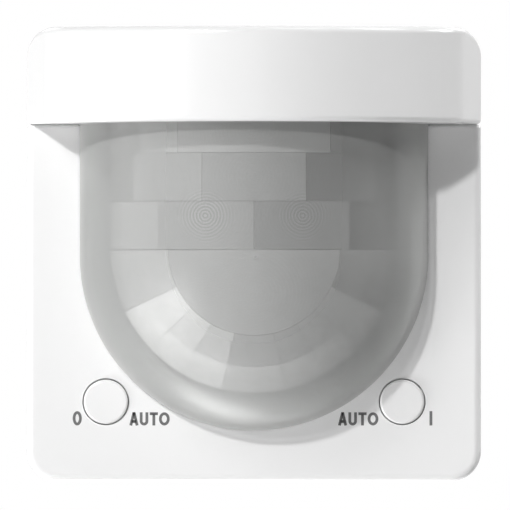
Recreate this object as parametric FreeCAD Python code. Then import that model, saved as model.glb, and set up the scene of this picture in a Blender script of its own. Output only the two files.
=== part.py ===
import FreeCAD, Part
import math
import os

# Cover unit of a wall-mounted motion detector: a square white cover with a hood over a dome
# window, two mode buttons, and behind them the lens, the sensors, the board and the rear housing.
# Millimetres. X points right and Z up. The front faces -Y. The origin is the centre of the rear
# seat, the plane that rests on the flush-mounted insert's support ring.

# Making the solids: how far joined pieces reach into each other, and tools past what they cut
weld = 0.2
past = 1.0

# Picking edges: how near a place has to be, and how near a direction
near = 0.001
same_way = 1e-6

# Front cover
plate_size = 65.0
plate_corner = 4.3
plate_front = 10.5
plate_wall = 2.0
plate_bevel = 1.05
rim_depth = 5.5
cover_wall = 1.7

# Hood
hood_height = 13.97
hood_depth = 25.5
hood_cheek_depth = 10.26
hood_cheek_lean = 18.4
hood_cheek_foot = 0.6
hood_cheek_round = 17.0
hood_draft = 1.3
hood_seam = 0.55
hood_edge = 0.8
hood_top_edge = 0.9

# Dome window and the lens behind it
window_wall = 0.9
window_axis_back = 2.55
window_tuck = 4.97
window_edge = 0.8
dome_z = -0.3
window_gap = 0.03
flange_width = 2.0
flange_clearance = 0.45
window_flange = 1.0
lens_air_gap = 3.59
lens_wall = 0.6
lens_flange = 0.6
lens_drop = 1.7
lens_row_margin = 0.68
lens_dome_rise = 0.93
lens_top_row_angles = (31.5, 51.9)
lens_mid_row_angles = (20.8,)
lens_low_row_angles = (0.0, 40.9)
lens_ring_angles = (36.05, 53.84)
lens_sector_angles = (25.7, 43.5, 60.0, 76.9)
zone_groove = 0.3
zone_groove_depth = 0.15
frame_thickness = 1.0
frame_inset = 0.4
frame_leg_radius = 1.4
frame_leg_rise = 0.6

# Buttons
button_hole_radius = 3.35
button_gap = 0.175
button_angle = 44.5
button_land = 1.31
button_proud = 0.5
button_edge = 0.4
button_cap = 1.2
button_travel = 0.4
button_flange_width = 0.4
button_flange_depth = 0.8
button_cup = 2.4
button_stem_radius = 1.5
guide_gap = 0.15
guide_wall = 0.5
guide_length = 1.9
guide_clearance = 0.2

# Push switches on the board
switch_size = 4.5
switch_height = 1.6
plunger_radius = 1.1
plunger_gap = 0.08
plunger_reach = 0.5
plunger_floor_gap = 0.1
plunger_height = 0.6
switch_chamfer = 0.4

# Main board
board_front = 4.6
board_thickness = 1.6
board_gap = 0.3
board_corner = 2.5

# Rear housing
tray_gap = 1.7
tray_wall = 1.6
tray_floor = 1.5
tray_corner = 3.0
seat_width = 3.0
seat_relief = 0.3
post_size = 4.0
well_size = 44.0
well_depth = 7.0
well_wall = 1.5
well_corner = 3.0
snap_length = 8.0
snap_rise = 0.7
snap_depth = 1.4
snap_clearance = 0.1
snap_place = 17.0

# Screws
screw_radius = 0.95
screw_head_radius = 1.8
screw_head = 1.0
screw_fit = 0.05
screw_inset = 4.2
screw_tip = 1.0

# Heat sensors and their holder
sensor_z = 4.0
can_radius = 4.1
can_flange_radius = 4.575
can_flange = 0.5
can_height = 4.2
can_split = 0.15
can_edge = 0.3
filter_width = 4.0
filter_height = 3.0
filter_thickness = 0.4
filter_recess = 0.25
holder_wall = 1.2
holder_half_height = 6.2
lead_radius = 0.225
lead_circle = 2.54
lead_hole_gap = 0.1
lead_straight = 0.4

# Detection-angle shutters
shutter_x = 10.7
shutter_back = 1.7
shutter_hub_radius = 1.3
shutter_pin_radius = 0.9
shutter_pin_gap = 0.05
shutter_tip_gap = 0.46
shutter_height = 9.6
shutter_thickness = 0.9
shutter_head = 1.4
shutter_slot = 0.4
lug_radius = 1.9

# Board parts
led_radius = 1.5
led_height = 4.2
led_base = 1.0
led_base_radius = 1.75
led_z = -9.5
light_sensor_x = 7.0
light_sensor_size = 3.0
light_sensor_height = 1.2
light_sensor_dish = 0.3
chip_length = 12.8
chip_width = 7.5
chip_height = 2.3
chip_lead_count = 10
chip_lead_pitch = 1.27
chip_lead_width = 0.4
chip_lead_thickness = 0.25
chip_lead_reach = 1.4
chip_stand = 0.1
chip_place = (-9.0, 1.0)
capacitor_radius = 3.15
capacitor_height = 7.2
capacitor_base = 1.2
capacitor_base_margin = 0.15
capacitor_base_chamfer = 1.0
capacitor_groove = 0.25
capacitor_place = (12.5, 0.0)
resistor_length = 2.0
resistor_width = 1.25
resistor_height = 0.6
resistor_pitch = 3.2
resistor_column = 5
resistor_bank = 4
resistor_margin = 3.0

# Trimmers
trimmer_pitch = 13.0
trimmer_z = 13.0
trimmer_size = 7.0
trimmer_height = 3.5
trimmer_chamfer = 0.5
rotor_shaft_radius = 1.5
rotor_shaft_gap = 0.05
rotor_shaft_reach = 2.0
rotor_axial_gap = 0.1
rotor_radius = 2.4
rotor_hole_gap = 0.3
rotor_proud = 0.5
rotor_slot = 0.8
rotor_slot_depth = 0.8
rotor_chamfer = 0.3

# The arrow slot in a rotor, as shares of the rotor's radius
arrow_tail = 0.7
arrow_barb = 0.3
arrow_tip = 0.8
arrow_arm = 0.5

# Plug connection
plug_width = 13.0
plug_height = 6.0
plug_z = -13.5
plug_proud = 1.5
plug_gap = 0.2
plug_chamfer = 0.6
pin_columns = 4
pin_rows = 2
pin_pitch = 2.54
pin_size = 0.64
pin_gap = 0.02
pin_proud = 6.0
pin_tail = 1.0
pin_point = 0.2

# Retaining springs
spring_thickness = 0.4
spring_width = 7.0
spring_bow = 1.6
spring_foot = 0.8
spring_start = 0.8
spring_span = 5.2

# Derived places, as distances in front of the rear seat
half_plate = plate_size / 2
plate_back = plate_front - plate_wall
rim_back = plate_front - rim_depth
hood_bottom = half_plate - hood_height
cheek_slope = math.tan(math.radians(hood_cheek_lean))
cheek_half = half_plate - (hood_cheek_foot + hood_cheek_depth) * cheek_slope
hood_bow = hood_depth - hood_cheek_depth
hood_arc = (cheek_half ** 2 + hood_bow ** 2) / (2 * hood_bow)
half_tray = half_plate - cover_wall - tray_gap
flange_radius = half_tray - tray_wall - flange_clearance
window_radius = flange_radius - flange_width
window_top = hood_bottom + window_tuck
window_axis = plate_front - window_axis_back
lens_radius = window_radius - window_wall - lens_air_gap
lens_top = window_top - lens_drop
lens_dome_z = dome_z + lens_dome_rise
lens_rows = (lens_low_row_angles, lens_mid_row_angles, lens_top_row_angles)
lens_row = (lens_top - lens_dome_z - lens_row_margin) / len(lens_rows)
lens_ring_radii = [lens_radius * math.sin(math.radians(angle)) for angle in lens_ring_angles]
window_flange_back = plate_back - window_flange
lens_flange_back = window_flange_back - lens_flange
frame_back = lens_flange_back - frame_thickness
board_back = board_front - board_thickness
opening_radius = window_radius + window_gap
button_reach = window_radius + button_land + button_hole_radius
button_x = button_reach * math.cos(math.radians(button_angle))
button_z = dome_z - button_reach * math.sin(math.radians(button_angle))
button_radius = button_hole_radius - button_gap
button_flange_radius = button_hole_radius + button_flange_width
guide_inner = button_flange_radius + guide_gap
guide_outer = guide_inner + guide_wall
switch_front = board_front + switch_height
plunger_front = switch_front + plunger_height
half_board = half_tray - tray_wall - board_gap
half_well = well_size / 2
well_inside = well_depth - well_wall
screw_place = half_board - screw_inset
shutter_length = lens_radius - lens_wall - shutter_tip_gap - shutter_x
pin_tip = well_depth + plug_proud + pin_proud


def vector(x, y, z):
    return FreeCAD.Vector(x, y, z)


diagonal = math.sqrt(0.5)
draft_line = vector(0, -1, -math.tan(math.radians(hood_draft))).normalize()


def block(x0, x1, y0, y1, z0, z1):
    """A box between two corners."""
    return Part.makeBox(x1 - x0, y1 - y0, z1 - z0, vector(x0, y0, z0))


def rod(radius, x, z, y0, y1):
    """A cylinder along Y."""
    return Part.makeCylinder(radius, y1 - y0, vector(x, y0, z), vector(0, 1, 0))


def post(radius, x, y, z0, z1):
    """A cylinder along Z."""
    return Part.makeCylinder(radius, z1 - z0, vector(x, y, z0), vector(0, 0, 1))


def polygon_face(points):
    """A flat face through the points, closed."""
    return Part.Face(Part.makePolygon(points + [points[0]]))


def edges_along(shape, direction, keep=None):
    """Straight edges parallel to a direction, all or those whose middle the test keeps."""
    found = []
    for edge in shape.Edges:
        ends = [vertex.Point for vertex in edge.Vertexes]
        if len(ends) < 2 or not isinstance(edge.Curve, Part.Line):
            continue
        along = (ends[1] - ends[0]).normalize()
        middle = (ends[0] + ends[1]) * 0.5
        if abs(abs(along.dot(direction)) - 1) < same_way and (keep is None or keep(middle)):
            found.append(edge)
    return found


def edges_where(shape, keep):
    """Edges whose bounding box the test keeps."""
    return [edge for edge in shape.Edges if keep(edge.BoundBox)]


def rounded_square(half, corner, y0, y1):
    """A square prism along Y with rounded corners."""
    body = block(-half, half, y0, y1, -half, half)
    return body.makeFillet(corner, edges_along(body, vector(0, 1, 0)))


def u_face(radius, low_z, top_z, y):
    """A face across Y: straight sides down to low_z, and a half round below."""
    left = vector(-radius, y, low_z)
    right = vector(radius, y, low_z)
    bottom = vector(0, y, low_z - radius)
    top_left = vector(-radius, y, top_z)
    top_right = vector(radius, y, top_z)
    edges = [
        Part.makeLine(top_left, left),
        Part.Arc(left, bottom, right).toShape(),
        Part.makeLine(right, top_right),
        Part.makeLine(top_right, top_left),
    ]
    return Part.Face(Part.Wire(edges))


def u_prism(radius, low_z, top_z, y0, y1):
    return u_face(radius, low_z, top_z, y0).extrude(vector(0, y1 - y0, 0))


def dome(radius, low_z, top_z, axis_y, back_y):
    """A half cylinder that ends below in a quarter sphere, with a straight wall behind its axis."""
    side = vector(-radius, axis_y, low_z)
    front = vector(0, axis_y - radius, low_z)
    other = vector(radius, axis_y, low_z)
    arc = Part.Arc(side, front, other).toShape()
    half_disc = Part.Face(Part.Wire([arc, Part.makeLine(other, side)]))
    upper = half_disc.extrude(vector(0, 0, top_z - low_z))
    centre = vector(0, axis_y, low_z)
    halfway = vector(-radius * diagonal, axis_y - radius * diagonal, low_z)
    quarter = Part.Wire([
        Part.Arc(side, halfway, front).toShape(),
        Part.makeLine(front, centre),
        Part.makeLine(centre, side),
    ])
    lower = Part.Face(quarter).revolve(centre, vector(0, 1, 0), -180)
    body = upper.fuse(lower)
    if back_y > axis_y:
        body = body.fuse(u_prism(radius, low_z, top_z, axis_y, back_y))
    return body.removeSplitter()


def y_of(front_distance):
    """The Y of a plane that lies this far in front of the rear seat."""
    return -front_distance


# Front cover

def hood_plan(inset, bottom, back):
    """The hood's outline from above: rim, leaning cheeks and the long front arc."""
    half = half_plate - inset
    lean = math.radians(hood_cheek_lean)
    start = half_plate - hood_cheek_foot * cheek_slope - inset / math.cos(lean)
    foot_depth = (start - half) / cheek_slope

    # The cheek line meets the front arc where both have the same depth
    radius = hood_arc - inset
    centre_depth = hood_depth - hood_arc
    a = cheek_slope * cheek_slope + 1
    b = start * cheek_slope + centre_depth
    c = start * start + centre_depth * centre_depth - radius * radius
    cheek_depth = (b + math.sqrt(b * b - a * c)) / a
    cheek_u = start - cheek_slope * cheek_depth

    def corner(u, depth):
        return vector(u, y_of(plate_front + depth), bottom)

    rim_left = corner(-half, back - plate_front)
    rim_right = corner(half, back - plate_front)
    foot_left = corner(-half, foot_depth)
    foot_right = corner(half, foot_depth)
    cheek_left = corner(-cheek_u, cheek_depth)
    cheek_right = corner(cheek_u, cheek_depth)
    wire = Part.Wire([
        Part.makeLine(rim_right, foot_right),
        Part.makeLine(foot_right, cheek_right),
        Part.Arc(cheek_right, corner(0, centre_depth + radius), cheek_left).toShape(),
        Part.makeLine(cheek_left, foot_left),
        Part.makeLine(foot_left, rim_left),
        Part.makeLine(rim_left, rim_right),
    ])
    return wire, cheek_right.y


def hood_form(inset, bottom, back):
    """The hood's outer block, or its cavity when every face is moved in by inset."""
    half = half_plate - inset
    outline, cheek_y = hood_plan(inset, bottom, back)
    body = Part.Face(outline).extrude(vector(0, 0, half - bottom + past))
    upright = edges_along(body, vector(0, 0, 1), lambda middle: abs(middle.y - cheek_y) < near)
    body = body.makeFillet(hood_cheek_round - inset, upright)

    # The top falls towards the front by the draft, and keeps the plate's corner radius
    run = hood_depth + rim_depth + 2 * past
    drop = run * math.tan(math.radians(hood_draft))
    top = polygon_face([
        vector(-half, y_of(back), bottom),
        vector(-half, y_of(back) - run, bottom),
        vector(-half, y_of(back) - run, half - drop),
        vector(-half, y_of(back), half),
    ]).extrude(vector(2 * half, 0, 0))
    corners = edges_along(top, draft_line, lambda middle: middle.z > bottom + past)
    return body.common(top.makeFillet(plate_corner - inset, corners))


def hood_block():
    """The hood's outside, with its top and bottom edges rounded over."""
    body = hood_form(0, hood_bottom, rim_back)

    def is_top(edge):
        box = edge.BoundBox
        if box.ZMin < hood_bottom + hood_height / 4 or box.YMin > y_of(plate_front) + plate_wall:
            return False
        ends = [vertex.Point for vertex in edge.Vertexes]
        straight = isinstance(edge.Curve, Part.Line)
        return not (straight and abs((ends[1] - ends[0]).normalize().dot(draft_line)) > 1 - same_way)

    body = body.makeFillet(hood_top_edge, [edge for edge in body.Edges if is_top(edge)])
    back_limit = y_of(rim_back) - near
    bottom = edges_where(body, lambda box: box.ZMax < hood_bottom + near and box.YMax < back_limit)
    return body.makeFillet(hood_edge, bottom)


def button_places():
    return [(-button_x, button_z), (button_x, button_z)]


def snap_places():
    return [(side, z) for side in (-1, 1) for z in (-snap_place, snap_place)]


def snap_wedge(side, z, grow):
    """A snap nose on the tray's side wall, or its socket in the cover's skirt when grown."""
    root = half_tray - weld
    tip = half_tray + tray_gap + snap_rise
    back = rim_back + snap_depth / 2
    front = back + snap_depth
    points = [
        vector(side * root, y_of(front + grow + snap_depth), z - snap_length / 2 - grow),
        vector(side * (tip + grow), y_of(front + grow), z - snap_length / 2 - grow),
        vector(side * (tip + grow), y_of(back - grow), z - snap_length / 2 - grow),
        vector(side * root, y_of(back - grow), z - snap_length / 2 - grow),
    ]
    return polygon_face(points).extrude(vector(0, 0, snap_length + 2 * grow))


def front_cover():
    pad = rounded_square(half_plate, plate_corner, y_of(plate_front), y_of(rim_back))
    below_hood = block(-half_plate, half_plate, y_of(plate_front), y_of(rim_back), -half_plate, hood_bottom)
    pad = pad.common(below_hood)
    face = y_of(plate_front) + near
    seam = hood_bottom - near
    pad = pad.makeFillet(plate_bevel, edges_where(pad, lambda b: b.YMax < face and b.ZMin < seam))
    pad = pad.makeFillet(hood_seam, edges_where(pad, lambda b: b.YMax < face and b.ZMin > seam))
    body = pad.fuse(hood_block())

    inside = half_plate - cover_wall
    corner = plate_corner - cover_wall
    body = body.cut(rounded_square(inside, corner, y_of(plate_back), y_of(rim_back) + past))
    body = body.cut(hood_form(cover_wall, hood_bottom + cover_wall, rim_back - past))
    body = body.cut(u_prism(opening_radius, dome_z, hood_bottom + cover_wall,
                            y_of(plate_front) - past, y_of(plate_back) + past))
    body = body.cut(post(opening_radius, 0, y_of(window_axis), dome_z, hood_bottom + cover_wall))
    for x, z in button_places():
        guide_back = y_of(plate_back) + guide_length
        guide = rod(guide_outer, x, z, y_of(plate_back) - weld, guide_back)
        guide = guide.cut(rod(guide_inner, x, z, y_of(plate_back), guide_back + past))
        guide = guide.cut(rod(window_radius + guide_clearance, 0, dome_z, y_of(plate_back) - past, 0))
        body = body.fuse(guide)
        body = body.cut(rod(button_hole_radius, x, z, y_of(plate_front) - past, y_of(plate_back) + past))
    for side, z in snap_places():
        body = body.cut(snap_wedge(side, z, snap_clearance))
    return body.removeSplitter()


# Dome window, lens and frame

def cut_round_buttons(body):
    """Keeps a flange clear of the button guides."""
    for x, z in button_places():
        body = body.cut(rod(guide_outer + guide_clearance, x, z, y_of(plate_front), 0))
    return body


def lens_window():
    outer = dome(window_radius, dome_z, window_top, y_of(window_axis), y_of(window_flange_back))
    top_edges = edges_where(outer, lambda b: b.ZMin > window_top - near and b.YMin < y_of(window_axis) - past)
    outer = outer.makeChamfer(window_edge, top_edges)
    inner = dome(window_radius - window_wall, dome_z, window_top - window_wall,
                 y_of(window_axis), y_of(window_flange_back) + past)
    flange = u_prism(flange_radius, dome_z, window_top + flange_width,
                     y_of(plate_back), y_of(window_flange_back))
    body = cut_round_buttons(flange).fuse(outer)
    return body.cut(inner).removeSplitter()


def zone_tools():
    """Thin blades where the lens zones meet: rows and columns above, rings and sectors below."""
    axis = vector(0, y_of(window_axis), lens_dome_z)
    reach = lens_radius + past
    half = zone_groove / 2
    tools = []
    for row, angles in enumerate(lens_rows):
        low = lens_dome_z + lens_row * row
        tools.append(block(-reach, reach, axis.y - reach, axis.y, low - half, low + half))
        for angle in sorted({sign * value for value in angles for sign in (-1, 1)}):
            blade = block(-half, half, axis.y - reach, axis.y - past, low, low + lens_row)
            tools.append(blade.rotate(axis, vector(0, 0, 1), angle))
    lower_half = block(-reach, reach, axis.y - reach, axis.y, lens_dome_z - reach, lens_dome_z)
    for radius in lens_ring_radii:
        ring = rod(radius + half, 0, lens_dome_z, axis.y - reach, axis.y)
        ring = ring.cut(rod(radius - half, 0, lens_dome_z, axis.y - reach - past, axis.y + past))
        tools.append(ring.common(lower_half))
    for angle in lens_sector_angles:
        for mirrored in (angle, 180 - angle):
            blade = block(lens_ring_radii[0], reach, axis.y - reach, axis.y, axis.z - half, axis.z + half)
            tools.append(blade.rotate(axis, vector(0, 1, 0), mirrored))
    return tools


def fresnel_lens():
    axis_y = y_of(window_axis)
    back_y = y_of(lens_flange_back)
    outer = dome(lens_radius, lens_dome_z, lens_top, axis_y, back_y)
    inner = dome(lens_radius - lens_wall, lens_dome_z, lens_top - lens_wall, axis_y, back_y + past)
    flange = u_prism(flange_radius - frame_inset, dome_z, window_top + flange_width - frame_inset,
                     y_of(window_flange_back), back_y)
    body = cut_round_buttons(flange).fuse(outer).cut(inner)
    skin = dome(lens_radius + past, lens_dome_z, lens_top, axis_y, axis_y)
    skin = skin.cut(dome(lens_radius - zone_groove_depth, lens_dome_z, lens_top, axis_y, axis_y))
    tools = zone_tools()
    grooves = tools[0].multiFuse(tools[1:]).common(skin)
    return body.cut(grooves).removeSplitter()


def leg_places():
    """Where the frame's legs stand on the board: beside, above and below the lens."""
    mid = (flange_radius + lens_radius - lens_wall) / 2
    top = (window_top + flange_width + lens_top - lens_wall) / 2
    places = []
    for side in (-1, 1):
        places.append((side * mid, dome_z))
        places.append((side * mid, frame_leg_rise * window_top))
        places.append((side * mid / 2, top))
        places.append((side * mid / 2, dome_z - mid * math.sqrt(0.75)))
    return places


def lens_frame():
    outer = u_prism(flange_radius, dome_z, window_top + flange_width,
                    y_of(lens_flange_back), y_of(frame_back))
    inner = u_prism(lens_radius - lens_wall, lens_dome_z, lens_top - lens_wall,
                    y_of(lens_flange_back) - past, y_of(frame_back) + past)
    body = cut_round_buttons(outer).cut(inner)
    for x, z in leg_places():
        body = body.fuse(rod(frame_leg_radius, x, z, y_of(frame_back) - weld, y_of(board_front)))
    return body.removeSplitter()


# Buttons and push switches

def button(x, z):
    front = plate_front + button_proud
    flange_back = plate_back - button_flange_depth
    cap = rod(button_radius, x, z, y_of(front), y_of(flange_back))
    cap = cap.makeFillet(button_edge, edges_where(cap, lambda b: b.YMax < y_of(front) + near))
    cap = cap.fuse(rod(button_flange_radius, x, z, y_of(plate_back), y_of(flange_back)))
    cup_floor = y_of(front) + button_cap
    cap = cap.cut(rod(button_cup, x, z, cup_floor, y_of(flange_back) + past))
    cap = cap.fuse(rod(button_stem_radius, x, z, cup_floor - weld, y_of(plunger_front)))
    return cap.removeSplitter()


def switch_bodies():
    bodies = []
    half = switch_size / 2
    bore_floor = y_of(switch_front) + plunger_reach + button_travel + plunger_floor_gap
    for x, z in button_places():
        body = block(x - half, x + half, y_of(switch_front), y_of(board_front), z - half, z + half)
        body = body.makeChamfer(switch_chamfer, edges_along(body, vector(0, 1, 0)))
        body = body.cut(rod(plunger_radius + plunger_gap, x, z, y_of(switch_front) - past, bore_floor))
        bodies.append(body)
    return Part.makeCompound(bodies)


def switch_plunger(x, z):
    return rod(plunger_radius, x, z, y_of(plunger_front), y_of(switch_front) + plunger_reach)


# Board, screws and rear housing

def screw_places():
    return [(-screw_place, screw_place), (screw_place, screw_place), (0, -screw_place)]


def pin_places():
    width = (pin_columns - 1) * pin_pitch
    height = (pin_rows - 1) * pin_pitch
    places = []
    for row in range(pin_rows):
        for column in range(pin_columns):
            places.append((column * pin_pitch - width / 2, plug_z + row * pin_pitch - height / 2))
    return places


def square_bar(x, z, size, y0, y1):
    return block(x - size / 2, x + size / 2, y0, y1, z - size / 2, z + size / 2)


def main_board():
    body = rounded_square(half_board, board_corner, y_of(board_front), y_of(board_back))
    for x, z in screw_places():
        hole = rod(screw_radius + screw_fit, x, z, y_of(board_front) - past, y_of(board_back) + past)
        body = body.cut(hole)
    for x, z in pin_places():
        hole = square_bar(x, z, pin_size + 2 * pin_gap, y_of(board_front) - past, y_of(board_back) + past)
        body = body.cut(hole)
    return body


def board_screws():
    screws = []
    for x, z in screw_places():
        head_front = y_of(board_front + screw_head)
        head = rod(screw_head_radius, x, z, head_front, y_of(board_front))
        head = head.makeChamfer(screw_head / 3, edges_where(head, lambda b: b.YMax < head_front + near))
        recess = screw_head_radius / 4
        for turn in (0, 90):
            slot = block(x - recess * 2, x + recess * 2, head_front - past,
                         head_front + screw_head / 2, z - recess / 2, z + recess / 2)
            head = head.cut(slot.rotate(vector(x, 0, z), vector(0, 1, 0), turn))
        tip_start = y_of(screw_tip) - screw_radius / 2
        shank = rod(screw_radius, x, z, y_of(board_front), tip_start)
        tip = Part.makeCone(screw_radius, screw_radius / 3, screw_radius / 2,
                            vector(x, tip_start, z), vector(0, 1, 0))
        screws.append(head.fuse([shank, tip]).removeSplitter())
    return Part.makeCompound(screws)


def rear_housing():
    tray = rounded_square(half_tray, tray_corner, y_of(plate_back), 0)
    tray = tray.cut(rounded_square(half_tray - tray_wall, tray_corner - tray_wall,
                                   y_of(plate_back) - past, -tray_floor))
    inside_seat = half_tray - seat_width
    tray = tray.cut(rounded_square(inside_seat, tray_corner - tray_wall, -seat_relief, past))
    well = rounded_square(half_well, well_corner, -tray_floor, well_depth)
    body = tray.fuse(well)
    hollow = rounded_square(half_well - well_wall, well_corner - well_wall, -tray_floor - past, well_inside)
    body = body.cut(hollow)
    corner = half_tray - tray_wall
    for x_side in (-1, 1):
        for z_side in (-1, 1):
            low_x, high_x = sorted((x_side * (corner - post_size), x_side * (corner + weld)))
            low_z, high_z = sorted((z_side * (corner - post_size), z_side * (corner + weld)))
            body = body.fuse(block(low_x, high_x, y_of(board_back), -tray_floor / 2, low_z, high_z))
    for x, z in screw_places():
        body = body.fuse(rod(2 * screw_radius + screw_fit, x, z, y_of(board_back), -tray_floor / 2))
    for x, z in screw_places():
        body = body.cut(rod(screw_radius + screw_fit, x, z, y_of(board_back) - past, y_of(screw_tip / 2)))
    for x, z in trimmer_places():
        body = body.cut(rod(rotor_radius + rotor_hole_gap, x, z, well_inside - past, well_depth + past))
    slot = block(-plug_width / 2 - plug_gap, plug_width / 2 + plug_gap, well_inside - past, well_depth + past,
                 plug_z - plug_height / 2 - plug_gap, plug_z + plug_height / 2 + plug_gap)
    body = body.cut(slot)
    for side, z in snap_places():
        body = body.fuse(snap_wedge(side, z, 0))
    return body.removeSplitter()


def retaining_springs():
    springs = []
    chord = spring_span / 2 - spring_foot
    radius = (chord * chord + spring_bow * spring_bow) / (2 * spring_bow)
    middle = spring_start + spring_span / 2
    for side in (-1, 1):
        centre = half_well + spring_thickness + spring_bow - radius
        outer = post(radius, side * centre, middle, -spring_width / 2, spring_width / 2)
        inner = post(radius - spring_thickness, side * centre, middle, -spring_width, spring_width)
        low_x, high_x = sorted((side * half_well, side * (half_well + 2 * radius)))
        outside = block(low_x, high_x, middle - 2 * radius, middle + 2 * radius, -spring_width, spring_width)
        bow = outer.cut(inner).common(outside)
        low_x, high_x = sorted((side * half_well, side * (half_well + spring_thickness)))
        for y0 in (spring_start, spring_start + spring_span - spring_foot):
            bow = bow.fuse(block(low_x, high_x, y0, y0 + spring_foot, -spring_width / 2, spring_width / 2))
        springs.append(bow.removeSplitter())
    return Part.makeCompound(springs)


# Heat sensors, holder and shutters

can_face_x = can_flange_radius * diagonal + can_height * diagonal + can_split
can_back_x = can_face_x - can_height * diagonal
can_outer_back = board_front + can_flange
can_back_front = can_outer_back + can_flange_radius * diagonal
holder_apex = can_back_front + can_back_x
holder_base = holder_apex - board_front
shutter_front = board_front + shutter_back


def holder_triangle(half_width, apex, z0, z1):
    points = [
        vector(-half_width, y_of(board_front), z0),
        vector(0, y_of(apex), z0),
        vector(half_width, y_of(board_front), z0),
    ]
    return polygon_face(points).extrude(vector(0, 0, z1 - z0))


def lead_offsets():
    return [(-lead_circle, 0), (0, lead_circle), (lead_circle, 0)]


def lead_start(side, across, up):
    """Where a lead leaves the back of its can."""
    x = side * (can_back_x + across * diagonal)
    return vector(x, y_of(can_back_front - across * diagonal), sensor_z + up)


def sensor_holder():
    top = sensor_z + holder_half_height
    bottom = sensor_z - holder_half_height
    body = holder_triangle(holder_base, holder_apex, bottom, top)
    slope = holder_wall / diagonal
    inner = holder_triangle(holder_base - slope, holder_apex - slope, bottom + holder_wall, top - holder_wall)
    body = body.cut(inner)
    for side in (-1, 1):
        backward = vector(-side * diagonal, diagonal, 0)
        for across, up in lead_offsets():
            start = lead_start(side, across, up) - backward * past
            hole_radius = lead_radius + lead_hole_gap
            body = body.cut(Part.makeCylinder(hole_radius, holder_wall + 2 * past, start, backward))
        for low in (bottom, top - holder_wall):
            arm = block(min(0, side * shutter_x), max(0, side * shutter_x),
                        y_of(shutter_front + lug_radius / 2), y_of(board_front), low, low + holder_wall)
            lug = post(lug_radius, side * shutter_x, y_of(shutter_front), low, low + holder_wall)
            behind = block(-2 * shutter_x, 2 * shutter_x, y_of(board_front), 0,
                           low - past, low + holder_wall + past)
            lug = lug.cut(behind)
            body = body.fuse([arm, lug])
        bore = shutter_pin_radius + shutter_pin_gap
        body = body.cut(post(bore, side * shutter_x, y_of(shutter_front), bottom - past, top + past))
    return body.removeSplitter()


def pir_sensor(side):
    forward = vector(side * diagonal, -diagonal, 0)
    back = vector(side * can_back_x, y_of(can_back_front), sensor_z)
    can = Part.makeCylinder(can_radius, can_height, back, forward)
    can = can.makeChamfer(can_edge, [max(can.Edges, key=lambda e: e.CenterOfMass.dot(forward))])
    can = can.fuse(Part.makeCylinder(can_flange_radius, can_flange, back, forward))
    opening = block(-filter_width / 2, filter_width / 2, -filter_recess, past,
                    -filter_height / 2, filter_height / 2)
    opening = opening.rotate(vector(0, 0, 0), vector(0, 0, 1), 180 + side * 45)
    can = can.cut(opening.translate(back + forward * can_height))
    for across, up in lead_offsets():
        start = lead_start(side, across, up)
        bend = start - forward * (holder_wall + lead_straight)
        run = Part.makeCylinder(lead_radius, (start - bend).Length, bend, forward)
        drop = rod(lead_radius, bend.x, bend.z, bend.y, y_of(board_front))
        can = can.fuse([run, Part.makeSphere(lead_radius, bend), drop])
    return can.removeSplitter()


def pir_filters():
    filters = []
    for side in (-1, 1):
        forward = vector(side * diagonal, -diagonal, 0)
        back = vector(side * can_back_x, y_of(can_back_front), sensor_z)
        pane = block(-filter_width / 2, filter_width / 2, -filter_recess, filter_thickness - filter_recess,
                     -filter_height / 2, filter_height / 2)
        pane = pane.rotate(vector(0, 0, 0), vector(0, 0, 1), 180 + side * 45)
        filters.append(pane.translate(back + forward * can_height))
    return Part.makeCompound(filters)


def shutter(side):
    x = side * shutter_x
    y = y_of(shutter_front)
    top = sensor_z + holder_half_height
    bottom = sensor_z - holder_half_height
    half = shutter_height / 2
    blade = block(0, shutter_length, -shutter_thickness / 2, shutter_thickness / 2, -half, half)
    outer_corners = edges_along(blade, vector(0, 1, 0), lambda middle: middle.x > shutter_length / 2)
    blade = blade.makeFillet(shutter_thickness, outer_corners)
    if side < 0:
        blade = blade.mirror(vector(0, 0, 0), vector(1, 0, 0))
    blade = blade.translate(vector(x, y, sensor_z))
    hub = post(shutter_hub_radius, x, y, sensor_z - half, sensor_z + half)
    pin = post(shutter_pin_radius, x, y, bottom, top + shutter_head)
    body = hub.fuse([blade, pin])
    slot = block(x - shutter_pin_radius - past, x + shutter_pin_radius + past,
                 y - shutter_slot / 2, y + shutter_slot / 2,
                 top + shutter_head / 2, top + shutter_head + past)
    return body.cut(slot).removeSplitter()


# Parts on the board

def status_led():
    base = rod(led_base_radius, 0, led_z, y_of(board_front + led_base), y_of(board_front))
    neck = rod(led_radius, 0, led_z, y_of(board_front + led_height - led_radius), y_of(board_front))
    tip = Part.makeSphere(led_radius, vector(0, y_of(board_front + led_height - led_radius), led_z))
    return base.fuse([neck, tip]).removeSplitter()


def brightness_sensor():
    half = light_sensor_size / 2
    front = y_of(board_front + light_sensor_height)
    body = block(light_sensor_x - half, light_sensor_x + half, front, y_of(board_front),
                 led_z - half, led_z + half)
    body = body.makeChamfer(light_sensor_height / 4, edges_where(body, lambda b: b.YMax < front + near))
    dish = Part.makeSphere(half, vector(light_sensor_x, front - half + light_sensor_dish, led_z))
    return body.cut(dish)


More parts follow.
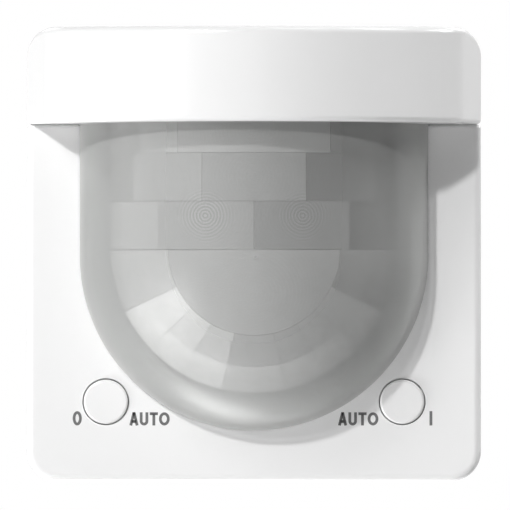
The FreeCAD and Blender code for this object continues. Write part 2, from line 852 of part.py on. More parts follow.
def microcontroller():
    x, z = chip_place
    rear = y_of(board_back)
    body = block(x - chip_length / 2, x + chip_length / 2, rear + chip_stand, rear + chip_height,
                 z - chip_width / 2, z + chip_width / 2)
    body = body.makeChamfer(chip_height / 8, edges_where(body, lambda b: b.YMin > rear + chip_height - near))
    t = chip_lead_thickness
    mid = chip_height / 2
    knee = chip_lead_reach / 2
    profile = [(0, mid), (knee, mid), (knee, t), (chip_lead_reach, t),
               (chip_lead_reach, 0), (knee - t, 0), (knee - t, mid - t), (0, mid - t)]
    solids = [body]
    for index in range(chip_lead_count):
        lead_x = x + (index - (chip_lead_count - 1) / 2) * chip_lead_pitch - chip_lead_width / 2
        for side in (-1, 1):
            points = [vector(lead_x, rear + up, z + side * (chip_width / 2 + out)) for out, up in profile]
            solids.append(polygon_face(points).extrude(vector(chip_lead_width, 0, 0)))
    return Part.makeCompound(solids)


def capacitor():
    x, z = capacitor_place
    rear = y_of(board_back)
    half = capacitor_radius + capacitor_base_margin
    base = block(x - half, x + half, rear, rear + capacitor_base, z - half, z + half)
    marked = edges_along(base, vector(0, 1, 0), lambda middle: middle.z > z)
    base = base.makeChamfer(capacitor_base_chamfer, marked)
    can = rod(capacitor_radius, x, z, rear + capacitor_base / 2, rear + capacitor_height)
    can_end = edges_where(can, lambda b: b.YMin > rear + capacitor_height - near)
    can = can.makeChamfer(capacitor_groove, can_end)
    waist_start = rear + 2 * capacitor_base
    waist_end = waist_start + 2 * capacitor_groove
    waist = rod(capacitor_radius + past, x, z, waist_start, waist_end)
    waist = waist.cut(rod(capacitor_radius - capacitor_groove, x, z, waist_start, waist_end))
    return base.fuse(can.cut(waist)).removeSplitter()


def resistor(x, y, z):
    """A chip resistor with its lowest corner here."""
    return block(x, x + resistor_length, y, y + resistor_height, z, z + resistor_width)


def smd_parts():
    """Chip resistors in a column and a bank behind the board, and a column in front."""
    rear = y_of(board_back)
    front = y_of(board_front) - resistor_height
    parts = []
    for index in range(resistor_column):
        z = trimmer_z - trimmer_size - resistor_pitch * index
        parts.append(resistor(-half_well + resistor_margin, rear, z))
    for index in range(resistor_bank):
        x = plug_width / 2 + resistor_pitch * (index % 2 + 0.5)
        parts.append(resistor(x, rear, plug_z + resistor_pitch * (index // 2 - 0.5)))
    for index in range(resistor_bank):
        x = -light_sensor_x - resistor_length / 2
        parts.append(resistor(x, front, led_z - resistor_length * index))
    return Part.makeCompound(parts)


# Trimmers

def trimmer_places():
    return [(-trimmer_pitch, trimmer_z), (0, trimmer_z), (trimmer_pitch, trimmer_z)]


def trimmer_bodies():
    bodies = []
    rear = y_of(board_back)
    half = trimmer_size / 2
    for x, z in trimmer_places():
        body = block(x - half, x + half, rear, rear + trimmer_height, z - half, z + half)
        body = body.makeChamfer(trimmer_chamfer, edges_along(body, vector(0, 1, 0)))
        bore_start = rear + trimmer_height - rotor_shaft_reach - rotor_axial_gap
        bore_end = rear + trimmer_height + past
        body = body.cut(rod(rotor_shaft_radius + rotor_shaft_gap, x, z, bore_start, bore_end))
        bodies.append(body)
    return Part.makeCompound(bodies)


def trimmer_rotor(x, z):
    """A rotor with an arrow-shaped screwdriver slot in its head."""
    rear = y_of(board_back)
    head_start = rear + trimmer_height + rotor_axial_gap
    head_end = well_depth + rotor_proud
    slot_floor = head_end - rotor_slot_depth
    slot_end = head_end + past
    body = rod(rotor_radius, x, z, head_start, head_end)
    body = body.makeChamfer(rotor_chamfer, edges_where(body, lambda b: b.YMin > head_end - near))
    shaft = rod(rotor_shaft_radius, x, z, rear + trimmer_height - rotor_shaft_reach, head_start + weld)
    body = body.fuse(shaft)
    half = rotor_slot / 2
    tail = arrow_tail * rotor_radius
    barb = arrow_barb * rotor_radius
    tip = arrow_tip * rotor_radius
    arm = arrow_arm * rotor_radius
    stem = block(x - half, x + half, slot_floor, slot_end, z - tail, z + barb + weld)
    cross = block(x - arm, x + arm, slot_floor, slot_end, z - half, z + half)
    arrow = polygon_face([
        vector(x - 2 * half, slot_floor, z + barb),
        vector(x, slot_floor, z + tip),
        vector(x + 2 * half, slot_floor, z + barb),
    ]).extrude(vector(0, slot_end - slot_floor, 0))
    return body.cut(stem.fuse([arrow, cross])).removeSplitter()


# Plug connection

def plug_block():
    rear = y_of(board_back)
    body = block(-plug_width / 2, plug_width / 2, rear, well_depth + plug_proud,
                 plug_z - plug_height / 2, plug_z + plug_height / 2)
    body = body.makeChamfer(plug_chamfer, edges_along(body, vector(0, 1, 0)))
    for x, z in pin_places():
        body = body.cut(square_bar(x, z, pin_size + 2 * pin_gap, rear - past, well_depth + plug_proud + past))
    return body


def contact_pins():
    pins = []
    for x, z in pin_places():
        pin = square_bar(x, z, pin_size, y_of(board_front + pin_tail), pin_tip)
        pin = pin.makeChamfer(pin_point, edges_where(pin, lambda b: b.YMin > pin_tip - near))
        pins.append(pin)
    return Part.makeCompound(pins)


off_place, on_place = button_places()
left_trimmer, middle_trimmer, right_trimmer = trimmer_places()

nodes = {
    "front_cover": front_cover(),
    "lens_window": lens_window(),
    "fresnel_lens": fresnel_lens(),
    "lens_frame": lens_frame(),
    "button_off": button(*off_place),
    "button_on": button(*on_place),
    "switch_bodies": switch_bodies(),
    "switch_plunger_off": switch_plunger(*off_place),
    "switch_plunger_on": switch_plunger(*on_place),
    "main_board": main_board(),
    "board_screws": board_screws(),
    "rear_housing": rear_housing(),
    "retaining_springs": retaining_springs(),
    "sensor_holder": sensor_holder(),
    "pir_sensor_left": pir_sensor(-1),
    "pir_sensor_right": pir_sensor(1),
    "pir_filters": pir_filters(),
    "shutter_left": shutter(-1),
    "shutter_right": shutter(1),
    "status_led": status_led(),
    "brightness_sensor": brightness_sensor(),
    "microcontroller": microcontroller(),
    "capacitor": capacitor(),
    "smd_parts": smd_parts(),
    "trimmer_bodies": trimmer_bodies(),
    "sensitivity_rotor": trimmer_rotor(*left_trimmer),
    "brightness_rotor": trimmer_rotor(*middle_trimmer),
    "time_rotor": trimmer_rotor(*right_trimmer),
    "plug_block": plug_block(),
    "contact_pins": contact_pins(),
}

os.makedirs("parts", exist_ok=True)
for name, shape in nodes.items():
    shape.exportStep("parts/" + name + ".step")
    box = shape.BoundBox
    print(f"{name:20s} solids {len(shape.Solids):2d} valid {shape.isValid()} volume {shape.Volume:9.2f} "
          f"x {box.XMin:7.2f} {box.XMax:7.2f}  y {box.YMin:7.2f} {box.YMax:7.2f}  "
          f"z {box.ZMin:7.2f} {box.ZMax:7.2f}")
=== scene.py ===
import math

import bpy
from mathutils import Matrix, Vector


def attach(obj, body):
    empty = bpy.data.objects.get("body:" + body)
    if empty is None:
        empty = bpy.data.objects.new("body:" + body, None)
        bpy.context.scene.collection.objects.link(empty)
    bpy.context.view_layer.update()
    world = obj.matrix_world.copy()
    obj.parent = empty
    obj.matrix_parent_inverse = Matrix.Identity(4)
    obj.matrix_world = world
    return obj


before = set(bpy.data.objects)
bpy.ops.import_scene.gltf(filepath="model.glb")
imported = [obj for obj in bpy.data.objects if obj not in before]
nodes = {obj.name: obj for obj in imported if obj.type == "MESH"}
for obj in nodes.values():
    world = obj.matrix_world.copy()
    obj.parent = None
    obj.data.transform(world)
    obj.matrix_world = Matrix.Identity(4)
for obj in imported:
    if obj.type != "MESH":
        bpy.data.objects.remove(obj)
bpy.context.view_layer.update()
mm = 0.001

# Places on the object: the cover's face, the lens (its radius, its axis, the height where its
# round bottom starts, the height of one row of zones, its top) and the window's axis
plate_front = -10.5 * mm
lens_radius = 20.56 * mm
lens_axis_y = -7.95 * mm
lens_dome_z = 0.63 * mm
lens_row = 6.83 * mm
lens_top = 21.8 * mm
window_axis_z = -0.3 * mm


# Materials

# Sockets of a Mix node that mixes colours, which have to be picked by number
mix_first, mix_second, mix_result = 6, 7, 2

# Moulded plastic: size of its patches of shade and of gloss, and how far the gloss strays
shade_patch = 9 * mm
gloss_patch = 4 * mm
gloss_spread = 0.03

# Metal: size of its patches of shade, how dark they get, how far the gloss strays each way, and
# the depth of the grain
metal_patch = 2 * mm
metal_dark = 0.85
metal_smoother = 0.05
metal_rougher = 0.08
metal_grain_depth = 2e-6


def make_material(name, **inputs):
    """A Principled material with plain values set on the shader's own sockets."""
    material = bpy.data.materials.new(name)
    material.use_nodes = True
    shader = material.node_tree.nodes["Principled BSDF"]
    for socket, value in inputs.items():
        shader.inputs[socket.replace("_", " ")].default_value = value
    return material


def shader_of(material):
    """The Principled shader of a material."""
    return material.node_tree.nodes["Principled BSDF"]


def place_node(material):
    """Object coordinates, which are metres in the part's own frame."""
    tree = material.node_tree
    found = tree.nodes.get("Place")
    if found is None:
        found = tree.nodes.new("ShaderNodeTexCoord")
        found.name = "Place"
    return found.outputs["Object"]


def noise(material, size, detail=2.0):
    """Noise whose blobs are about this size in metres."""
    node = material.node_tree.nodes.new("ShaderNodeTexNoise")
    node.inputs["Scale"].default_value = 1 / size
    node.inputs["Detail"].default_value = detail
    material.node_tree.links.new(place_node(material), node.inputs["Vector"])
    return node.outputs["Fac"]


def ramp(material, factor, low, high):
    """Maps a factor in 0 to 1 onto low to high."""
    node = material.node_tree.nodes.new("ShaderNodeMapRange")
    node.inputs["To Min"].default_value = low
    node.inputs["To Max"].default_value = high
    material.node_tree.links.new(factor, node.inputs["Value"])
    return node.outputs["Result"]


def tint(material, factor, dark, light):
    """Colour that varies between two shades."""
    tree = material.node_tree
    node = tree.nodes.new("ShaderNodeMix")
    node.data_type = "RGBA"
    node.inputs[mix_first].default_value = (*dark, 1)
    node.inputs[mix_second].default_value = (*light, 1)
    tree.links.new(factor, node.inputs["Factor"])
    tree.links.new(node.outputs[mix_result], shader_of(material).inputs["Base Color"])


def bump(material, height, depth):
    """Bump of this depth in metres."""
    tree = material.node_tree
    node = tree.nodes.new("ShaderNodeBump")
    node.inputs["Strength"].default_value = 1.0
    node.inputs["Distance"].default_value = depth
    tree.links.new(height, node.inputs["Height"])
    tree.links.new(node.outputs["Normal"], shader_of(material).inputs["Normal"])


def vary_roughness(material, size, low, high):
    """Roughness that wanders between two values, in patches of this size in metres."""
    result = ramp(material, noise(material, size), low, high)
    material.node_tree.links.new(result, shader_of(material).inputs["Roughness"])


def moulded(name, dark, light, rough, grain, depth):
    """Moulded plastic: slight shade drift, a fine grain and uneven gloss."""
    material = make_material(name)
    tint(material, noise(material, shade_patch), dark, light)
    vary_roughness(material, gloss_patch, rough - gloss_spread, rough + gloss_spread)
    bump(material, noise(material, grain, detail=3.0), depth)
    return material


def metal(name, colour, rough, grain):
    """Metal with a fine grain and uneven gloss."""
    material = make_material(name, Metallic=1.0)
    tint(material, noise(material, metal_patch), [metal_dark * value for value in colour], colour)
    vary_roughness(material, grain, rough - metal_smoother, rough + metal_rougher)
    bump(material, noise(material, grain), metal_grain_depth)
    return material


def see_through(material, face_share, edge_share, blend):
    """Lets light through a wall: one share is plastic face on, another where it is seen edge on.

    Only the side of the wall that a ray meets first counts, so that a wall isn't counted twice.
    """
    tree = material.node_tree
    facing = tree.nodes.new("ShaderNodeLayerWeight")
    facing.inputs["Blend"].default_value = blend
    share = ramp(material, facing.outputs["Facing"], face_share, edge_share)
    behind = tree.nodes.new("ShaderNodeNewGeometry")
    first = ramp(material, behind.outputs["Backfacing"], 1, 0)
    product = tree.nodes.new("ShaderNodeMath")
    product.operation = "MULTIPLY"
    tree.links.new(share, product.inputs[0])
    tree.links.new(first, product.inputs[1])
    tree.links.new(product.outputs["Value"], shader_of(material).inputs["Alpha"])


# Each plastic: darkest and lightest colour, roughness, size of the grain and its depth in metres.
# Each metal: colour, roughness, size of the grain

cover_white = moulded("cover_white", (0.865, 0.865, 0.865), (0.885, 0.885, 0.885),
                      0.16, 0.6 * mm, 1.5e-6)

window_white = moulded("window_white", (0.55, 0.555, 0.546), (0.57, 0.575, 0.566),
                       0.38, 0.4 * mm, 2e-6)
shader_of(window_white).inputs["Specular IOR Level"].default_value = 0.35
see_through(window_white, face_share=0.31, edge_share=1.0, blend=0.3)

housing_grey = moulded("housing_grey", (0.46, 0.47, 0.48), (0.50, 0.51, 0.52),
                       0.42, 0.3 * mm, 4e-6)
inner_black = moulded("inner_black", (0.018, 0.018, 0.019), (0.028, 0.028, 0.03),
                      0.45, 0.3 * mm, 4e-6)
chip_black = moulded("chip_black", (0.02, 0.02, 0.021), (0.03, 0.03, 0.031),
                     0.5, 0.15 * mm, 5e-6)
rotor_white = moulded("rotor_white", (0.74, 0.73, 0.70), (0.78, 0.77, 0.74),
                      0.35, 0.3 * mm, 3e-6)
trimmer_blue = moulded("trimmer_blue", (0.03, 0.10, 0.36), (0.04, 0.13, 0.42),
                       0.38, 0.3 * mm, 3e-6)
board_green = moulded("board_green", (0.015, 0.12, 0.045), (0.02, 0.15, 0.06),
                      0.3, 1.2 * mm, 3e-6)
steel = metal("steel", (0.60, 0.60, 0.61), 0.3, 0.15 * mm)
aluminium_can = metal("aluminium_can", (0.78, 0.79, 0.80), 0.28, 0.12 * mm)
contact_brass = metal("contact_brass", (0.83, 0.62, 0.28), 0.25, 0.1 * mm)
filter_glass = moulded("filter_glass", (0.03, 0.025, 0.03), (0.05, 0.045, 0.055),
                       0.12, 0.5 * mm, 1e-6)
led_clear = moulded("led_clear", (0.55, 0.12, 0.10), (0.62, 0.15, 0.12),
                    0.15, 0.5 * mm, 1e-6)
lens_white = moulded("lens_white", (0.40, 0.41, 0.405), (0.43, 0.44, 0.435),
                     0.36, 0.4 * mm, 3e-6)
legend_ink = moulded("legend_ink", (0.12, 0.12, 0.12), (0.15, 0.15, 0.15),
                     0.5, 0.1 * mm, 2e-6)

node_materials = {
    "front_cover": cover_white,
    "button_off": cover_white,
    "button_on": cover_white,
    "lens_window": window_white,
    "fresnel_lens": lens_white,
    "lens_frame": inner_black,
    "switch_bodies": chip_black,
    "switch_plunger_off": rotor_white,
    "switch_plunger_on": rotor_white,
    "main_board": board_green,
    "board_screws": steel,
    "rear_housing": housing_grey,
    "retaining_springs": steel,
    "sensor_holder": inner_black,
    "pir_sensor_left": steel,
    "pir_sensor_right": steel,
    "pir_filters": filter_glass,
    "shutter_left": inner_black,
    "shutter_right": inner_black,
    "status_led": led_clear,
    "brightness_sensor": chip_black,
    "microcontroller": chip_black,
    "capacitor": aluminium_can,
    "smd_parts": chip_black,
    "trimmer_bodies": trimmer_blue,
    "sensitivity_rotor": rotor_white,
    "brightness_rotor": rotor_white,
    "time_rotor": rotor_white,
    "plug_block": inner_black,
    "contact_pins": contact_brass,
}


def dress(node, material):
    """Gives a CAD node this material without touching its mesh."""
    if not node.material_slots:
        node.data.materials.append(material)
    for place in node.material_slots:
        place.link = "OBJECT"
        place.material = material


for name, material in node_materials.items():
    dress(nodes[name], material)


# Lens zones: thin moulded fields on the outside of the lens

# Groove between zones, their height over the lens, how deep their walls reach into it, size of a
# mesh step, and the share of a step that the lip at a wall takes
zone_gap = 0.015 * mm
zone_rise = 0.03 * mm
zone_root = 0.05 * mm
zone_step = 0.22 * mm
zone_lip = 0.08

# The stepped rings that each zone has in its mesh
ring_pitch = 0.55 * mm
ring_depth = 0.012 * mm

# The finer rings of the two small lenses of the lowest row, which are in the material: their
# centres left and right, spacing, reach and strength
eye_x = 6.85 * mm
eye_z = 5.4 * mm
eye_pitch = 0.45 * mm
eye_reach = 5.0 * mm
eye_contrast = 0.26

# Grain of the zones, how far their shade drifts, and their green and blue against their red
zone_grain = 0.4 * mm
zone_grain_depth = 3e-6
drift_patch = 6 * mm
drift_low, drift_high = 0.95, 1.05
zone_green, zone_blue = 1.004, 0.995

zone_material = make_material("lens_zones", Roughness=0.34)


def eye_rings(material):
    """Fine rings about the small lens on each side of the lowest row, strongest at its centre."""
    tree = material.node_tree
    split = tree.nodes.new("ShaderNodeSeparateXYZ")
    tree.links.new(place_node(material), split.inputs["Vector"])
    mirror = tree.nodes.new("ShaderNodeMath")
    mirror.operation = "ABSOLUTE"
    tree.links.new(split.outputs["X"], mirror.inputs[0])
    flat = tree.nodes.new("ShaderNodeCombineXYZ")
    tree.links.new(mirror.outputs["Value"], flat.inputs["X"])
    tree.links.new(split.outputs["Z"], flat.inputs["Z"])
    away = tree.nodes.new("ShaderNodeVectorMath")
    away.operation = "DISTANCE"
    away.inputs[1].default_value = (eye_x, 0, eye_z)
    tree.links.new(flat.outputs["Vector"], away.inputs[0])
    turns = tree.nodes.new("ShaderNodeMath")
    turns.operation = "MULTIPLY"
    turns.inputs[1].default_value = 2 * math.pi / eye_pitch
    tree.links.new(away.outputs["Value"], turns.inputs[0])
    wave = tree.nodes.new("ShaderNodeMath")
    wave.operation = "SINE"
    tree.links.new(turns.outputs["Value"], wave.inputs[0])
    depth = tree.nodes.new("ShaderNodeMapRange")
    depth.inputs["From Max"].default_value = eye_reach
    depth.inputs["To Min"].default_value = eye_contrast
    depth.inputs["To Max"].default_value = 0.0
    tree.links.new(away.outputs["Value"], depth.inputs["Value"])
    shade = tree.nodes.new("ShaderNodeMath")
    shade.operation = "MULTIPLY_ADD"
    shade.inputs[2].default_value = 1.0
    tree.links.new(wave.outputs["Value"], shade.inputs[0])
    tree.links.new(depth.outputs["Result"], shade.inputs[1])
    return shade.outputs["Value"]


def dress_zones(material):
    """Zone shade from the mesh, times a slight drift and the fine rings of the small lenses.

    The zone shade holds painted light and shade: lighter on the left, darker on the right.
    """
    tree = material.node_tree
    shade = tree.nodes.new("ShaderNodeAttribute")
    shade.attribute_name = "shade"
    drift = ramp(material, noise(material, drift_patch), drift_low, drift_high)
    product = tree.nodes.new("ShaderNodeVectorMath")
    product.operation = "SCALE"
    tree.links.new(shade.outputs["Color"], product.inputs[0])
    both = tree.nodes.new("ShaderNodeMath")
    both.operation = "MULTIPLY"
    tree.links.new(drift, both.inputs[0])
    tree.links.new(eye_rings(material), both.inputs[1])
    tree.links.new(both.outputs["Value"], product.inputs["Scale"])
    tree.links.new(product.outputs["Vector"], shader_of(material).inputs["Base Color"])
    bump(material, noise(material, zone_grain), zone_grain_depth)


dress_zones(zone_material)


def ring_height(distance):
    """The sawtooth of a Fresnel lens at this distance from the zone's centre."""
    turn = distance / ring_pitch
    return ring_depth * (turn - math.floor(turn))


def barrel_point(angle, z, radius):
    """A point on the upper half cylinder, from its angle to the right and its height."""
    return Vector((radius * math.sin(angle), lens_axis_y - radius * math.cos(angle), z))


def bowl_point(tilt, turn, radius):
    """A point on the lower quarter sphere, from its tilt off the front and its turn.

    The turn runs from the right side, through the bottom, to the left side.
    """
    across = radius * math.sin(tilt)
    return Vector((across * math.cos(turn), lens_axis_y - radius * math.cos(tilt),
                   lens_dome_z - across * math.sin(turn)))


def steps(low, high, length):
    """Evenly spaced values from low to high, about a mesh step apart over this length."""
    count = max(2, math.ceil(length / zone_step))
    return [low + (high - low) * index / count for index in range(count + 1)]


class ZoneMesh:
    """Gathers the zones into one mesh with a shade for each point."""

    def __init__(self):
        self.points = []
        self.faces = []
        self.shades = []

    def field(self, place, first, second, centre, shade, tip=False):
        """A grid over two lists of parameters, with rings about centre and walls into the lens.

        With a tip the first row is a point in the middle of the lens, which needs no wall.
        """
        start = len(self.points)
        rows = len(first)
        columns = len(second)
        for i, a in enumerate(first):
            for j, b in enumerate(second):
                flat = place(a, b, lens_radius)
                rise = zone_rise - ring_height((flat - centre).length)
                if i == rows - 1 or j in (0, columns - 1) or (i == 0 and not tip):
                    rise = -zone_root
                self.points.append(place(a, b, lens_radius + rise))
                self.shades.append(shade)
        for i in range(rows - 1):
            for j in range(columns - 1):
                corner = start + i * columns + j
                self.faces.append((corner, corner + 1, corner + columns + 1, corner + columns))

    def build(self, name, material):
        """Makes the piece."""
        mesh = bpy.data.meshes.new(name)
        mesh.from_pydata(self.points, [], self.faces)
        attribute = mesh.attributes.new("shade", "FLOAT_COLOR", "POINT")
        for index, shade in enumerate(self.shades):
            attribute.data[index].color = (shade, shade * zone_green, shade * zone_blue, 1)
        mesh.update()
        mesh.materials.append(material)
        piece = bpy.data.objects.new(name, mesh)
        bpy.context.scene.collection.objects.link(piece)
        return piece


def with_walls(values, gap):
    """Insets a list of parameters by the groove between zones and doubles its ends for walls."""
    low = values[0] + gap
    high = values[-1] - gap
    last = len(values) - 1
    inner = [low + (high - low) * index / last for index in range(len(values))]
    lip = (inner[1] - inner[0]) * zone_lip
    return [low, low + lip] + inner[1:-1] + [high - lip, high]


def barrel_zone(mesh, row, left, right, shade, centre_angle=None, centre_height=0.5):
    """A zone of a row between two angles in degrees, with rings about a centre in that row."""
    left, right = math.radians(left), math.radians(right)
    low = lens_dome_z + lens_row * row
    high = min(low + lens_row, lens_top)
    middle = (left + right) / 2 if centre_angle is None else math.radians(centre_angle)
    centre = barrel_point(middle, low + lens_row * centre_height, lens_radius)
    width = (right - left) * lens_radius
    angles = with_walls(steps(left, right, width), zone_gap / lens_radius)
    heights = with_walls(steps(low, high, high - low), zone_gap)
    mesh.field(barrel_point, angles, heights, centre, shade)


def bowl_zone(mesh, tilt_low, tilt_high, turn_low, turn_high, shade, tip=False):
    """A zone of the bowl between two tilts and two turns in degrees."""
    tilt_low, tilt_high = math.radians(tilt_low), math.radians(tilt_high)
    turn_low, turn_high = math.radians(turn_low), math.radians(turn_high)
    middle = (tilt_low + tilt_high) / 2
    centre = bowl_point(middle, (turn_low + turn_high) / 2, lens_radius)
    reach = lens_radius * math.sin(middle)
    length = (tilt_high - tilt_low) * lens_radius
    width = (turn_high - turn_low) * reach
    tilts = with_walls(steps(tilt_low, tilt_high, length), zone_gap / lens_radius)
    turns = with_walls(steps(turn_low, turn_high, width), zone_gap / reach)
    mesh.field(bowl_point, tilts, turns, centre, shade, tip)


def mirrored(side, low, high):
    """Two angles to the right of the middle, or their mirror images to the left."""
    return (low, high) if side > 0 else (-high, -low)


def turned(side, low, high):
    """Two turns from the right side, or their mirror images from the left side."""
    return (low, high) if side > 0 else (180 - high, 180 - low)


# Where the zones divide, in degrees: the three rows by their angle off the middle, the bowl by
# its tilts and turns
edge_angle = 89.0
top_inner, top_outer = 31.5, 51.9
middle_inner, middle_outer = 20.8, 56.7
low_outer = 40.9
tip_tilt, core_tilt, ring_tilt = 0.05, 36.05, 53.84
core_turns = (0.3, 179.7)
sector_turns = (0.2, 25.7, 43.5, 60.0, 76.9)
centre_turns = (76.9, 103.1)

# Centre of the stepped rings that the lowest row's zones share on each side: its angle off the
# middle, and its height as a share of the row
low_centre_angle = 13.5
low_centre_height = 0.71

# Shade of each zone left and right of the middle, and of those in the middle. The zones on the
# left are painted lighter and those on the right painted darker than their twins. This is painted
# light and shade of light falling from the left, not a difference in the lens's plastic.
left_painted_lit_shades = {
    "top_out": 0.42, "top_mid": 0.60, "mid_out": 0.32, "mid_block": 0.44,
    "low_out": 0.50, "low_in": 0.40, "inner_0": 0.58, "outer_0": 0.54,
    "inner_1": 0.86, "outer_1": 0.90, "inner_2": 0.80, "outer_2": 0.92,
    "inner_3": 0.64, "outer_3": 0.88,
}
# Painted shade: the right zones are darker than their twins on the left
right_painted_dark_shades = {
    "top_out": 0.12, "top_mid": 0.18, "mid_out": 0.04, "mid_block": 0.13,
    "low_out": 0.04, "low_in": 0.29, "inner_0": 0.28, "outer_0": 0.20,
    "inner_1": 0.50, "outer_1": 0.50, "inner_2": 0.46, "outer_2": 0.60,
    "inner_3": 0.42, "outer_3": 0.62,
}
top_shade, middle_shade = 0.54, 0.38
core_shade, inner_shade, outer_shade = 0.48, 0.42, 0.64

zones = ZoneMesh()
for side, shades in ((-1, left_painted_lit_shades), (1, right_painted_dark_shades)):
    barrel_zone(zones, 2, *mirrored(side, top_outer, edge_angle), shades["top_out"])
    barrel_zone(zones, 2, *mirrored(side, top_inner, top_outer), shades["top_mid"])
    barrel_zone(zones, 1, *mirrored(side, middle_outer, edge_angle), shades["mid_out"])
    barrel_zone(zones, 1, *mirrored(side, middle_inner, middle_outer), shades["mid_block"])
    barrel_zone(zones, 0, *mirrored(side, low_outer, edge_angle), shades["low_out"],
                side * low_centre_angle, low_centre_height)
    barrel_zone(zones, 0, *mirrored(side, 0.0, low_outer), shades["low_in"],
                side * low_centre_angle, low_centre_height)
    for index, low in enumerate(sector_turns[:-1]):
        turns = turned(side, low, sector_turns[index + 1])
        bowl_zone(zones, core_tilt, ring_tilt, *turns, shades[f"inner_{index}"])
        bowl_zone(zones, ring_tilt, edge_angle, *turns, shades[f"outer_{index}"])
barrel_zone(zones, 2, -top_inner, top_inner, top_shade)
barrel_zone(zones, 1, -middle_inner, middle_inner, middle_shade)
bowl_zone(zones, tip_tilt, core_tilt, *core_turns, core_shade, tip=True)
bowl_zone(zones, core_tilt, ring_tilt, *centre_turns, inner_shade)
bowl_zone(zones, ring_tilt, edge_angle, *centre_turns, outer_shade)
lens_zones = zones.build("lens_zones", zone_material)
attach(lens_zones, "housing")


# Window seal: a thin soft ring that fills the groove between the window and the cover's face

# Its front and back, inner and outer radius, upper ends, and the steps round its half circle
seal_low_y = -10.44 * mm
seal_high_y = -10.2 * mm
seal_inner = 24.88 * mm
seal_outer = 25.10 * mm
seal_top_z = 18.3 * mm
seal_turns = 96


def build_seal():
    """A closed ring of four-sided section along the window's straight sides and round bottom."""
    path = [(-1, 0, seal_top_z - window_axis_z)]
    for index in range(seal_turns + 1):
        angle = math.pi + math.pi * index / seal_turns
        path.append((math.cos(angle), math.sin(angle), 0))
    path.append((1, 0, seal_top_z - window_axis_z))
    points = []
    for across, down, up in path:
        for radius in (seal_inner, seal_outer):
            for y in (seal_low_y, seal_high_y):
                points.append((across * radius, y, window_axis_z + down * radius + up))
    faces = [(0, 1, 3, 2)]
    for index in range(len(path) - 1):
        a = 4 * index
        b = a + 4
        faces.append((a, a + 2, b + 2, b))
        faces.append((a + 1, b + 1, b + 3, a + 3))
        faces.append((a, b, b + 1, a + 1))
        faces.append((a + 2, a + 3, b + 3, b + 2))
    last = 4 * (len(path) - 1)
    faces.append((last, last + 2, last + 3, last + 1))
    mesh = bpy.data.meshes.new("window_seal")
    mesh.from_pydata(points, [], faces)
    mesh.update()
    mesh.materials.append(cover_white)
    piece = bpy.data.objects.new("window_seal", mesh)
    bpy.context.scene.collection.objects.link(piece)
    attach(piece, "housing")


build_seal()


# Legends: flat printed strokes beside the buttons

# Width of a stroke, thickness of the ink, height of the line of print, of capitals and of figures,
# and the height of the bar of an A as a share of the letter
stroke = 0.40 * mm
ink = 0.012 * mm
baseline = -24.52 * mm
letter_height = 1.88 * mm
figure_height = 2.05 * mm
bar_share = 0.3

# Where the letters of AUTO start in the word, and how wide they are
a_width = 1.32 * mm
u_start, u_width = 1.49 * mm, 1.22 * mm
t_start, t_width = 2.92 * mm, 1.17 * mm
o_start, o_width = 4.24 * mm, 1.53 * mm

# Where the marks start across the cover, and the width of the figure 0
zero_x, zero_width = -25.93 * mm, 1.30 * mm
left_word_x = -17.83 * mm
right_word_x = 12.01 * mm
one_x = 25.30 * mm


def arc(cx, cz, rx, rz, start, end, count=20):
    """Points on an ellipse's arc, angles in degrees from the right, anticlockwise."""
    found = []
    for index in range(count + 1):
        angle = math.radians(start + (end - start) * index / count)
        found.append((cx + rx * math.cos(angle), cz + rz * math.sin(angle)))
    return found


def ribbon(points, closed=False):
    """Left and right edges of a stroke along flat points."""
    sides = []
    count = len(points)
    for index, point in enumerate(points):
        before = points[index - 1] if closed or index > 0 else point
        after = points[(index + 1) % count] if closed or index < count - 1 else point
        along = Vector((after[0] - before[0], after[1] - before[1])).normalized()
        across = Vector((-along.y, along.x)) * stroke / 2
        sides.append((Vector(point) + across, Vector(point) - across))
    return sides


def stroke_mesh(name, strokes):
    """Thin printed strokes that stand a hair proud of the cover's face."""
    points = []
    faces = []
    for path, closed in strokes:
        start = len(points)
        for left, right in ribbon(path, closed):
            for edge in (left, right):
                points.append((edge.x, plate_front - ink, edge.y))
                points.append((edge.x, plate_front + ink, edge.y))
        count = len(path)
        for index in range(count if closed else count - 1):
            a = start + 4 * index
            b = start + 4 * ((index + 1) % count)
            faces.append((a, a + 2, b + 2, b))
            faces.append((a, b, b + 1, a + 1))
            faces.append((a + 2, a + 3, b + 3, b + 2))
    mesh = bpy.data.meshes.new(name)
    mesh.from_pydata(points, [], faces)
    mesh.update()
    mesh.materials.append(legend_ink)
    piece = bpy.data.objects.new(name, mesh)
    bpy.context.scene.collection.objects.link(piece)
    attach(piece, "housing")


def letter_a(x, width):
    """Strokes of an A from its left edge: points, and whether the stroke closes."""
    half = stroke / 2
    height = letter_height
    bar = bar_share * height
    lean = (width / 2 - half) / height
    bar_left = (x + half + lean * bar, baseline + bar)
    bar_right = (x + width - half - lean * bar, baseline + bar)
    return [
        ([(x + half, baseline), (x + width / 2, baseline + height)], False),
        ([(x + width - half, baseline), (x + width / 2, baseline + height)], False),
        ([bar_left, bar_right], False),
    ]


def letter_u(x, width):
    """Stroke of a U."""
    half = stroke / 2
    radius = width / 2 - half
    bend = arc(x + width / 2, baseline + half + radius, radius, radius, 180, 360)
    top = baseline + letter_height
    return [([(x + half, top)] + bend + [(x + width - half, top)], False)]


def letter_t(x, width):
    """Strokes of a T."""
    top = baseline + letter_height
    return [
        ([(x, top - stroke / 2), (x + width, top - stroke / 2)], False),
        ([(x + width / 2, top - stroke / 2), (x + width / 2, baseline)], False),
    ]


def ring(x, width, height):
    """Stroke of an O or a 0."""
    half = stroke / 2
    loop = arc(x + width / 2, baseline + height / 2, width / 2 - half, height / 2 - half,
               0, 360, count=40)
    return [(loop[:-1], True)]


def word_auto(x):
    """The word in capitals, from its left edge."""
    return (letter_a(x, a_width) + letter_u(x + u_start, u_width)
            + letter_t(x + t_start, t_width) + ring(x + o_start, o_width, letter_height))


